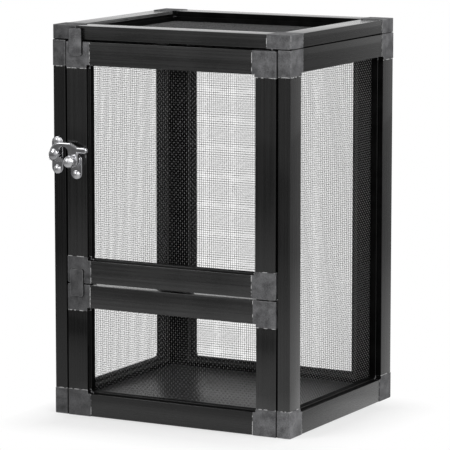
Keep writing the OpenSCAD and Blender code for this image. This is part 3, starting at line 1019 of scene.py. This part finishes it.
@dataclass(frozen=True)
class Panel:
    """One framed panel: four rails, four corner caps, the mesh and its spline.

    Its nodes begin with its name. Its rails are named in the order of RailSide, and the box of its
    first caps gives its place.
    """

    name: str
    along: Vector
    inward: Vector
    upward: Vector
    rails: tuple[str, str, str, str]
    caps: tuple[str, ...] = ("caps",)
    section: RailSection = RailSection()
    cloth: WovenMesh = WovenMesh()
    marks: CapMarks = CapMarks()
    slit: float = 0.4 * MM
    slit_reach: float = 0.6 * MM
    lid_lift: float = 2.0 * MM
    cap_round: float = 0.3 * MM
    cap_facets: int = 2
    strip_round: float = 0.55 * MM
    weave: ClassVar[MeshTree | None] = None
    shades: ClassVar[dict[str, RailShade]] = {
        "left_front_stile": RailShade.DEEP,
        "lower_left_stile": RailShade.DEEP,
        "lower_bottom_rail": RailShade.DEEP,
        "lower_top_rail": RailShade.PALE,
        "door_bottom_rail": RailShade.PALE,
        "door_top_rail": RailShade.PALE,
        "lid_front_rail": RailShade.PALE,
    }

    @property
    def body(self) -> str:
        """The CAD body that the panel moves with."""
        return "door" if self.name == "door" else "cage"

    @property
    def under_lid(self) -> bool:
        """Whether the panel's top stands under the top frame."""
        return self.name in ("left", "right", "back", "door")

    @property
    def has_slits(self) -> bool:
        """Whether open slits stand at the panel's sides."""
        return self.name == "lower"

    @cached_property
    def place(self) -> Place:
        """Where the panel stands. The door's latch side is found from its stile."""
        low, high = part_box(f"{self.name}_{self.caps[0]}")
        if self.name == "door":
            low.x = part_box("door_latch_stile")[0].x - self.section.proud
        ways = self.along, self.inward, self.upward
        total = self.along + self.inward + self.upward
        corner = Vector(low[i] if total[i] > 0 else high[i] for i in range(3))
        size = high - low
        return Place(corner, *ways, abs(size.dot(self.along)), abs(size.dot(self.upward)))

    def build(self) -> None:
        """Build and dress all the panel's pieces."""
        for side, rail in zip(RailSide, self.rails):
            self.build_rail(side, f"{self.name}_{rail}")
        for caps in self.caps:
            self.build_caps(f"{self.name}_{caps}")
        self.build_mesh()
        self.build_spline()

    def rail_point(self, side: RailSide, s: float, a: float, n: float) -> Vector:
        """A point of a rail.

        Args:
            side: The rail's side.
            s: Distance along the rail from its first end.
            a: Distance in from the rail's edge.
            n: Distance in from its outer face.

        Returns:
            The point in the cage's frame.
        """
        at, proud = self.place, self.section.proud
        run, rise = self.section.cap_len + s, proud + a
        if self.is_slit(side) and a < self.slit_reach:
            rise += self.slit
        spots = {
            RailSide.LOW: (run, rise),
            RailSide.HIGH: (run, at.height - rise),
            RailSide.NEAR: (rise, run),
            RailSide.FAR: (at.width - rise, run),
        }
        u, v = spots[side]
        return at.point(u, proud + n, v)

    def is_slit(self, side: RailSide) -> bool:
        """Whether a rail stands beside an open slit."""
        return self.has_slits and side in (RailSide.NEAR, RailSide.FAR)

    def lit_zone(self, node: str) -> Span | None:
        """The depths of a rail's inner edge that escape its painted shade, if there are any: a painted light
        band on the lid's left rail, plain rail on two stiles.

        Args:
            node: The rail's CAD node.

        Returns:
            The first and the last depth, or None.
        """
        sec = self.section
        if node == "lid_left_rail":
            return 0.0, sec.edge_split
        if node in ("door_latch_stile", "lower_left_stile"):
            return sec.edge_split, sec.shelf
        return None

    def build_rail(self, side: RailSide, node: str) -> None:
        """Build one hollow rail with a broken edge at each cut end.

        Args:
            side: The rail's side.
            node: The CAD node that it stands for.
        """
        sec = self.section
        level = side in (RailSide.LOW, RailSide.HIGH)
        length = (self.place.width if level else self.place.height) - 2 * sec.cap_len
        cut, full = sec.cut_outline(), sec.outline()
        stations = [(0, cut), (sec.cut_band, full), (length - sec.cut_band, full), (length, cut)]
        ends = [(0, sec.hollow()), (length, sec.hollow())]
        shape = bmesh.new()
        outer, inner = (
            [[shape.verts.new(self.rail_point(side, s, *p)) for p in ring] for s, ring in row]
            for row in (stations, ends)
        )
        zone = self.lit_zone(node)
        for index, (low, high) in enumerate(zip(outer, outer[1:])):
            for i, face in enumerate(self.skin(shape, low, high)):
                part = RailPart.MAIN if index == 1 else RailPart.CUT
                face.material_index = self.rail_part(side, zone, (full[i - 1], full[i]), part)
        self.skin(shape, *inner)
        for loops in ((outer[0], inner[0]), (outer[-1], inner[1])):
            pairs = [pair for loop in loops for pair in zip(loop, loop[1:] + loop[:1])]
            edges = [shape.edges.get(pair) for pair in pairs]
            bmesh.ops.triangle_fill(shape, edges=edges, use_beauty=True)
        made = from_bmesh(f"rail_{node}", shape)
        axis = Axis.of(self.along if level else self.upward)
        shade = self.shades.get(node, RailShade.PLAIN)
        finishes = [AnodisedRail.of(axis, shade), BareCut(), PaintedShade()]
        # The lid's left rail gets a painted light band on its inner edge
        if zone and self.name == "lid":
            finishes.append(AnodisedRail.of(axis, RailShade.RUBBED))
        put(made, self.body, Slot.RAIL, node, *finishes)

    def rail_part(
        self, side: RailSide, zone: Span | None, points: Sequence[Span], part: RailPart
    ) -> RailPart:
        """Which material slot a face of a rail has.

        Args:
            side: The rail's side.
            zone: The depths of its inner edge that escape the painted shade, if there are any.
            points: The face's two points on the outline.
            part: The slot that it has where nothing else applies.

        Returns:
            The slot.
        """
        sec, is_lid = self.section, self.name == "lid"
        # Painted shade on the inner edge and the lip's edge, and on the outer edge beside a slit or under
        # the top frame
        shaded_edges = [sec.face, sec.lip_edge]
        if self.is_slit(side) or (self.under_lid and side is RailSide.HIGH):
            shaded_edges.append(0.0)
        # Painted light band on the lid's left rail; the stiles keep their own colour there
        if zone and sec.in_zone(points, zone):
            return RailPart.RUBBED if is_lid else RailPart.MAIN
        # The lid's lip gets painted shade
        lip = is_lid and min(a for a, n in points) >= sec.face - sec.lip_round
        return RailPart.INSIDE if lip or sec.is_shaded(points, *shaded_edges) else part

    @staticmethod
    def skin(shape: bmesh.types.BMesh, low: list, high: list) -> list[bmesh.types.BMFace]:
        """Join two rings of points with faces and return them."""
        spans = range(len(low))
        return [shape.faces.new((low[i - 1], low[i], high[i], high[i - 1])) for i in spans]

    def build_caps(self, node: str) -> None:
        """Build corner caps from their CAD solid: softened edges with painted highlights, painted shade on
        insides and seams, painted light or shade on some caps.

        Args:
            node: The caps' CAD node.
        """
        made = soft_copy(node, "moulded", self.cap_round, self.cap_facets)
        parts = [self.cap_part(face) for face in made.data.polygons]
        made.data.polygons.foreach_set("material_index", parts)
        finishes = [CapPlastic.of(CapPaintedLight.PLAIN), CapEdgeHighlight(), PaintedShade()]
        # Painted light on the right panel's lower front cap, painted shade on the caps at the left
        if CapPart.TINTED in parts:
            finishes.append(CapPlastic.of(CapPaintedLight.PALE if self.name == "right" else CapPaintedLight.DEEP))
        if self.has_slits:
            self.open_slits(made)
        put(made, self.body, Slot.CAP, node, *finishes)

    def cap_part(self, face: bpy.types.MeshPolygon) -> CapPart:
        """Which material slot a face of a corner cap has.

        Args:
            face: The face.

        Returns:
            The slot.
        """
        sec, place, marks = self.section, self.place, self.marks
        spot = face.center - place.corner
        across, depth, rise = (spot.dot(way) for way in (place.along, place.inward, place.upward))
        side, end = min(across, place.width - across), min(rise, place.height - rise)
        turned = face.normal.dot(place.inward)
        slanted = max(abs(part) for part in face.normal) < marks.slant
        upper = rise > place.height / 2
        by_latch = self.name == "left" and upper and face.center.y < 0 and side < sec.thick
        back = depth > sec.thick * marks.back_depth and turned > marks.back_turn and not by_latch
        corner = min(side, end) > sec.face - sec.proud and abs(turned) < marks.corner_turn
        tab_side = depth < marks.tab_depth and turned > marks.tab_turn
        # Painted shade, near black: the inner faces, black and in shade, the recess corners, the tabs' sides
        # and slanted faces in seams
        if back or corner or tab_side or (slanted and self.at_seam(side, place.height - rise)):
            return CapPart.INSIDE
        # Painted highlight on the other slanted, rounded edges
        if slanted:
            return CapPart.WORN
        # Painted light or shade on whole caps
        return CapPart.TINTED if self.is_tinted(face.center, upper) else CapPart.PLAIN

    def is_tinted(self, spot: Vector, upper: bool) -> bool:
        """Whether a cap at a spot gets painted light or shade: painted shade on those at the left, painted
        light on one at the right.
        """
        if self.name == "right":
            return spot.y < 0 and not upper
        return spot.x < 0 and not (self.name == "door" and upper)

    def open_slits(self, caps: Piece) -> None:
        """Draw the sides of the caps in a little, which leaves a slit at both sides of the panel.

        Args:
            caps: The caps.
        """
        place = self.place
        for vert in caps.data.vertices:
            across = (vert.co - place.corner).dot(place.along)
            if across < self.slit_reach:
                vert.co += place.along * self.slit
            elif across > place.width - self.slit_reach:
                vert.co -= place.along * self.slit

    def at_seam(self, side: float, top: float) -> bool:
        """Whether a point this far from a side and from the top lies in a seam with the next panel."""
        reach = self.marks.seam
        return side < reach if self.has_slits else self.under_lid and top < reach

    def build_mesh(self) -> None:
        """Weave the panel's mesh and turn its hem into the groove."""
        sec, cloth = self.section, self.cloth
        if Panel.weave is None:
            Panel.weave = cloth.tree()
        edge, margin = sec.proud + sec.groove_in, cloth.pitch / 2
        lift = self.lid_lift if self.name == "lid" else 0.0
        values = {
            "First wire": edge + margin,
            "Hem edge": edge - cloth.radius * 2,
            "Hem depth": sec.groove_d - sec.mesh_t - lift,
            "Level": sec.proud + sec.thick - sec.mesh_t / 2 - lift,
            "Wire radius": cloth.radius,
            "Material": WireCoat().material(),
        }
        for way, length in (("along", self.place.width), ("up", self.place.height)):
            free = length - 2 * (edge + margin)
            spans = round(free / cloth.pitch)
            values[f"Wires {way}"] = spans + 1
            values[f"Spacing {way}"] = free / spans
        made = Panel.weave.run(f"mesh_{self.name}", values)
        made.data.transform(self.place.matrix())
        smooth(made.data, cloth.sharp)
        put(made, self.body, Slot.MESH, f"{self.name}_net", WireCoat())

    def build_spline(self) -> None:
        """Build the rubber strips that hold the mesh in its groove."""
        node = f"{self.name}_spline"
        put(soft_copy(node, "strips", self.strip_round), self.body, Slot.SPLINE, node, SplineRubber())


class Cage:
    """The cage's six panels."""

    @staticmethod
    def upright(name: str, along: Vector, inward: Vector, stiles: tuple[str, str], *caps: str) -> Panel:
        """Describe an upright panel.

        Args:
            name: The panel's name.
            along: Its direction along its width, seen from outside.
            inward: Its direction into the cage.
            stiles: The names of its near and its far stile.
            *caps: The names of its caps, if they are not all one node.

        Returns:
            The panel.
        """
        near, far = stiles
        rails = ("bottom_rail", "top_rail", f"{near}_stile", f"{far}_stile")
        return Panel(name, along, inward, UP, rails, caps or Panel.caps)

    def build(self) -> None:
        """Build every panel."""
        stop_caps = ("hinge_caps", "top_stop_cap", "bottom_stop_cap")
        panels = (
            self.upright("left", -BACK, RIGHT, ("back", "front")),
            self.upright("right", BACK, -RIGHT, ("front", "back")),
            self.upright("back", -RIGHT, -BACK, ("right", "left")),
            Panel("lid", RIGHT, -UP, BACK, ("front_rail", "back_rail", "left_rail", "right_rail")),
            self.upright("lower", RIGHT, BACK, ("left", "right")),
            self.upright("door", RIGHT, BACK, ("latch", "hinge"), *stop_caps),
        )
        for panel in panels:
            panel.build()


# Floor, dowels and hinge


@dataclass(frozen=True)
class FloorTray:
    """The moulded floor that the side panels hold by pegs."""

    rounding: float = 0.5 * MM

    def build(self) -> None:
        """Build the tray with softened edges."""
        put(soft_copy("floor_base", "tray", self.rounding), "cage", Slot.FLOOR, "floor_base", FloorPlastic())


@dataclass(frozen=True)
class Dowels:
    """The hidden dowels between the panels, which stay as their CAD solids."""

    nodes: tuple[str, ...] = ("top_dowels", "back_dowels", "lower_dowels")

    def build(self) -> None:
        """Give the dowels their finish."""
        for name in self.nodes:
            solid = frame["nodes"][name]
            solid.data.materials.clear()
            solid.data.materials.append(DowelNylon().material())
            log.info("%s keeps its CAD solid", name)


@dataclass(frozen=True)
class Hinge:
    """The two steel pins and the washer that carries the door."""

    chamfer: float = 0.3 * MM
    steps: int = 24
    washer_round: float = 0.15 * MM
    washer_facets: int = 2

    def build(self) -> None:
        """Build the pins with chamfered ends, and the washer."""
        for node in ("hinge_pin_top", "hinge_pin_bottom"):
            low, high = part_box(node)
            radius, length = (high.x - low.x) / 2, high.z - low.z
            tip = radius - self.chamfer
            profile = [
                (0, 0), (tip, 0), (radius, self.chamfer),
                (radius, length - self.chamfer), (tip, length), (0, length),
            ]
            middle = (low + high) / 2
            base = Vector((middle.x, middle.y, low.z))
            made = lathe(f"turned_{node}", profile, base, UP, self.steps)
            put(made, "door", Slot.PIN, node, DrawnSteel())
        washer = soft_copy("hinge_washer", "ring", self.washer_round, self.washer_facets)
        put(washer, "cage", Slot.DOWEL, "hinge_washer", DowelNylon())


# Latch


@dataclass(frozen=True)
class RivetRow:
    """Domed rivets set by a Geometry Nodes tree."""

    head: float = 3.3 * MM
    dome: float = 1.7 * MM
    dome_steps: int = 8
    shank: float = 1.2 * MM
    tail: float = 1.8 * MM
    tail_t: float = 1.0 * MM
    rim: float = 0.25 * MM
    steps: int = 28

    def tree(self) -> MeshTree:
        """Build the tree that sets a rivet on each point.

        Returns:
            The tree, whose inputs are the points, the rivet and the material.
        """
        made = MeshTree("rivet_row")
        points = made.take("Points", "Geometry")
        template = made.take("Rivet", "Object")
        material = made.take("Material", "Material")
        info = made.node("GeometryNodeObjectInfo", {"Object": template})
        inputs = {"Points": points, "Instance": info.outputs["Geometry"]}
        made.end(made.node("GeometryNodeInstanceOnPoints", inputs).outputs[0], material)
        return made

    def template(self, grip: float) -> Piece:
        """Turn one rivet, with its head's underside at the origin and its tail along +Y.

        Args:
            grip: Thickness that the rivet holds.

        Returns:
            The rivet.
        """
        sphere = (self.head**2 + self.dome**2) / (2 * self.dome)
        open_angle = math.degrees(math.asin(self.head / sphere))
        cap = arc((0, sphere - self.dome), sphere, -90, -90 + open_angle, self.dome_steps)
        profile = [
            (0, -self.dome), *cap[1:-1], (self.head, -self.rim), (self.head - self.rim / 2, 0),
            (self.shank, 0), (self.shank, grip), (self.tail, grip),
            (self.tail - self.rim, grip + self.tail_t), (0, grip + self.tail_t),
        ]
        return lathe("rivet_template", profile, Vector(), BACK, self.steps)

    def set_rivets(self, name: str, spots: Sequence[Vector], grip: float, finish: Finish) -> Piece:
        """Set a rivet at each spot.

        Args:
            name: The new object's name.
            spots: Where the heads' undersides lie.
            grip: Thickness that the rivets hold.
            finish: Their finish.

        Returns:
            The rivets as one object.
        """
        one = self.template(grip)
        base = bpy.data.meshes.new(name)
        base.from_pydata(list(spots), [], [])
        made = self.tree().run(name, {"Rivet": one, "Material": finish.material()}, base)
        bpy.data.objects.remove(one)
        smooth(made.data)
        return made


@dataclass(frozen=True)
class HornLatch:
    """The chrome latch: two plates, their rivets, the keeper's cup, the post and the horn."""

    rivets: RivetRow = RivetRow()
    plate_round: float = 0.9 * MM
    facets: int = 4
    wall: float = 1.2 * MM
    post: float = 2.5 * MM
    post_steps: int = 48
    ball: float = 4.8 * MM
    ball_steps: int = 18
    collar: float = 3.6 * MM
    collar_t: float = 0.9 * MM
    neck: float = 0.5 * MM
    crown: float = 1.5 * MM
    voxel: float = 0.16 * MM
    melt: int = 16
    melt_factor: float = 0.5
    horn_sharp: float = 80.0

    def build(self) -> None:
        """Build and dress the latch's pieces."""
        plates = (("keeper_plate", "keeper_rivets", "cage"), ("latch_plate", "latch_rivet", "door"))
        for plate, rivets, body in plates:
            made = soft_copy(plate, "pressed", self.plate_round, self.facets)
            put(made, body, Slot.CHROME, plate, ChromePlate())
            self.build_rivets(rivets, plate, body)
        cup = soft_copy("keeper_cup", "cast", self.plate_round)
        put(cup, "cage", Slot.CHROME, "keeper_cup", ChromePlate())
        self.build_post()
        self.build_horn()

    def grip(self, plate: str) -> Span:
        """The outer face of a plate, and the thickness of the plate and the rail's wall."""
        low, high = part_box(plate)
        return low.y, high.y - low.y + self.wall

    def build_rivets(self, node: str, plate: str, body: str) -> None:
        """Set a plate's rivets where the CAD has them.

        Args:
            node: The rivets' CAD node.
            plate: The plate's CAD node.
            body: The body that they ride on.
        """
        low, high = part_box(node)
        face, grip = self.grip(plate)
        x = (low.x + high.x) / 2
        heights = {round(z, 6) for z in (low.z + self.rivets.head, high.z - self.rivets.head)}
        spots = [Vector((x, face, z)) for z in sorted(heights)]
        made = self.rivets.set_rivets(f"set_{node}", spots, grip, SoftChrome())
        put(made, body, Slot.CHROME, node, SoftChrome())

    def build_post(self) -> None:
        """Turn the post: tail, shank, shoulder, neck and ball."""
        low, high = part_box("latch_post")
        face, grip = self.grip("latch_plate")
        tail, shank = self.rivets.tail, self.rivets.shank
        foot = -grip - self.rivets.tail_t
        reach = face - low.y - self.ball
        open_angle = math.degrees(math.asin((self.post + self.neck) / self.ball))
        ball = arc((0, reach), self.ball, -90 + open_angle, 90, self.ball_steps)
        profile = [
            (0, foot), (tail, foot), (tail, -grip),
            (shank, -grip), (shank, 0), (self.collar, 0), (self.collar, self.collar_t),
            (self.post, self.collar_t + self.neck), (self.post, ball[0][1] - self.neck),
            *ball[:-1], (0, reach + self.ball),
        ]
        middle = (low + high) / 2
        base = Vector((middle.x, face, middle.z))
        made = lathe("turned_latch_post", profile, base, -BACK, self.post_steps)
        put(made, "door", Slot.CHROME, "latch_post", SoftChrome())

    def build_horn(self) -> None:
        """Cast the horn: its CAD solid melted into soft, blended edges."""
        made = soft_copy("latch_horn", "cast", self.crown, self.facets)
        remesh = made.modifiers.new("cast", "REMESH")
        remesh.mode = "VOXEL"
        remesh.voxel_size = self.voxel
        melt = made.modifiers.new("melt", "SMOOTH")
        melt.factor = self.melt_factor
        melt.iterations = self.melt
        keep_evaluated(made)
        smooth(made.data, self.horn_sharp)
        put(made, "horn", Slot.CHROME, "latch_horn", ChromePlate())


# Studio


@dataclass(frozen=True)
class DimSide:
    """A side of the surround that glossy surfaces see darker, between two cosines of the angle to it."""

    side: Triple
    start: float
    end: float
    level: float

    def factor(self, graph: Graph, direction: Socket) -> Socket:
        """A socket that is 1 away from the side and falls to the level towards it."""
        along = graph.vector("DOT_PRODUCT", direction, self.side).outputs["Value"]
        return graph.spread(along, self.start, self.end, 1.0, self.level)


@dataclass(frozen=True)
class Lamp:
    """A soft square lamp that faces the cage: its place, its side in metres and its power in watts."""

    name: str
    spot: Triple
    size: float
    power: float
    target: Triple = (0.0, 0.0, 0.15)

    def build(self) -> None:
        """Hang the lamp."""
        light = bpy.data.lights.new(f"lamp_{self.name}", "AREA")
        light.size = self.size
        light.energy = self.power
        made = bpy.data.objects.new(f"lamp_{self.name}", light)
        made.location = self.spot
        aim = Vector(self.target) - Vector(self.spot)
        made.rotation_euler = aim.to_track_quat("-Z", "Y").to_euler()
        bpy.context.scene.collection.objects.link(made)


@dataclass(frozen=True)
class Studio:
    """A pale floor, a white surround with a darker front, and soft lamps."""

    ambient: float = 0.42
    gloss_white: float = 0.66
    front_left: DimSide = DimSide((-0.766, -0.643, 0.0), 0.5, 0.85, 0.36)
    right_back: DimSide = DimSide((0.5, 0.866, 0.0), 0.65, 0.92, 0.52)
    zenith: DimSide = DimSide((0.0, 0.0, 1.0), 0.4, 0.8, 0.45)
    floor_tone: Triple = (0.9, 0.9, 0.9)
    floor_blur: float = 0.9
    floor_specular: float = 0.1
    floor_reach: float = 4.0
    footprint: Triple = (0.1, 0.085, 0.0)
    shift: Triple = (0.015, -0.03, 0.0)
    fade: float = 0.045
    near_white: float = 0.35
    dim_reach: float = 0.7
    dim_near: float = 0.5
    dim_far: float = 0.6
    lamps: tuple[Lamp, ...] = (
        Lamp("left", (-1.4, -1.8, 1.8), 1.3, 20.0),
        Lamp("front", (1.0, -1.05, 1.5), 1.6, 17.0),
        Lamp("right", (2.3, 0.1, 1.2), 1.2, 22.0),
        Lamp("top", (0.3, 0.5, 2.4), 1.6, 10.0),
    )

    def build(self) -> None:
        """Build the surround, the floor and the lamps."""
        scene = bpy.context.scene
        scene.view_settings.view_transform = "Standard"
        scene.world = bpy.data.worlds.new("white_surround")
        self.surround(scene.world)
        self.floor()
        for lamp in self.lamps:
            lamp.build()

    def surround(self, world: bpy.types.World) -> None:
        """Make the world white where it is seen, part dark for gloss, and softer as a lamp.

        Args:
            world: The scene's world.
        """
        world.use_nodes = True
        graph = Graph(world.node_tree)
        background = world.node_tree.nodes["Background"]
        background.inputs["Color"].default_value = (1, 1, 1, 1)
        ray = graph.node("ShaderNodeTexCoord").outputs["Generated"]
        gloss = graph.math("MULTIPLY", self.gloss(graph, ray), self.zenith.factor(graph, ray))
        graph.feed(background.inputs["Strength"], self.seen(graph, 1.0, gloss, self.ambient))

    def gloss(self, graph: Graph, direction: Socket) -> Socket:
        """What a glossy surface sees: pale, but dark to the front left and dim to the right back."""
        sides = [side.factor(graph, direction) for side in (self.front_left, self.right_back)]
        return graph.math("MULTIPLY", graph.math("MULTIPLY", *sides), self.gloss_white)

    def seen(self, graph: Graph, plain: object, gloss: object, lamp: object) -> Socket:
        """Pick a value by the kind of ray.

        Args:
            graph: The graph that gets the nodes.
            plain: Value for camera and transmission rays.
            gloss: Value for glossy rays.
            lamp: Value for all others.

        Returns:
            The socket with the value.
        """
        path = graph.node("ShaderNodeLightPath").outputs
        clear = graph.math("MAXIMUM", path["Is Camera Ray"], path["Is Transmission Ray"])
        mirror = self.pick(graph, path["Is Glossy Ray"], lamp, gloss)
        return self.pick(graph, clear, mirror, plain)

    @staticmethod
    def pick(graph: Graph, switch: Socket, off: object, on: object) -> Socket:
        """A socket that is one value where a switch is 0 and another where it is 1."""
        inputs = {"Factor": switch, 2: off, 3: on}
        return graph.node("ShaderNodeMix", inputs, data_type="FLOAT").outputs[0]

    def floor(self) -> None:
        """Lay the floor: it keeps the cage's shadow and turns white further off."""
        r = self.floor_reach
        mesh = bpy.data.meshes.new("studio_floor")
        mesh.from_pydata([(-r, -r, 0), (r, -r, 0), (r, r, 0), (-r, r, 0)], [], [(0, 1, 2, 3)])
        made = add_object("studio_floor", mesh)
        surface = Surface("studio_floor")
        surface.set("Base Color", (*self.floor_tone, 1))
        surface.set("Roughness", self.floor_blur)
        surface.set("Specular IOR Level", self.floor_specular)
        # Distance from the cage's footprint, which is shifted towards its shadow
        spot = surface.vector("SUBTRACT", surface.coords, self.shift).outputs[0]
        spot = surface.vector("ABSOLUTE", spot).outputs[0]
        past = surface.vector("SUBTRACT", spot, self.footprint).outputs[0]
        past = surface.vector("MAXIMUM", past, (0, 0, 0)).outputs[0]
        outside = surface.vector("LENGTH", past).outputs["Value"]
        blend = surface.spread(outside, 0.0, self.fade, self.near_white, 1.0)
        dim = surface.spread(outside, 0.0, self.dim_reach, self.dim_near, self.dim_far)
        far = surface.spread(outside, 0.0, self.dim_reach, 0.0, 1.0)
        side = self.gloss(surface, surface.vector("NORMALIZE", surface.coords).outputs[0])
        gloss = surface.math("MULTIPLY", self.pick(surface, far, 1.0, side), dim)
        white = surface.node("ShaderNodeEmission", {"Strength": self.seen(surface, 1.0, gloss, 0.0)})
        share = self.seen(surface, blend, blend, 0.0)
        inputs = {0: share, 1: surface.shader.outputs[0], 2: white.outputs[0]}
        mixed = surface.node("ShaderNodeMixShader", inputs)
        surface.feed(surface.tree.nodes["Material Output"].inputs["Surface"], mixed.outputs[0])
        mesh.materials.append(surface.material)


@dataclass(frozen=True)
class Viewpoint:
    """The camera, placed by angles in degrees about the point that it looks at."""

    azimuth: float = 28.254
    elevation: float = 8.538
    distance: float = 2.3984
    target: Triple = (0.00044, 0.00687, 0.14444)
    lens: float = 244.02
    sensor: float = 36.0
    clip: float = 20.0

    def build(self) -> None:
        """Make the camera and set it as the scene's."""
        camera = bpy.data.cameras.new("viewpoint")
        camera.lens = self.lens
        camera.sensor_width = self.sensor
        camera.clip_end = self.clip
        made = bpy.data.objects.new("viewpoint", camera)
        turn, rise = math.radians(self.azimuth), math.radians(self.elevation)
        level = math.cos(rise)
        back = Vector((math.sin(turn) * level, -math.cos(turn) * level, math.sin(rise)))
        made.location = Vector(self.target) + back * self.distance
        made.rotation_euler = (-back).to_track_quat("-Z", "Y").to_euler()
        bpy.context.scene.collection.objects.link(made)
        bpy.context.scene.camera = made


def main() -> None:
    """Build the camera, the studio and then the cage, piece by piece."""
    logging.basicConfig(level=logging.INFO, format="%(name)s: %(message)s")
    for part in (Viewpoint(), Studio(), Cage(), FloorTray(), Dowels(), Hinge(), HornLatch()):
        part.build()


if __name__ == "__main__":
    main()
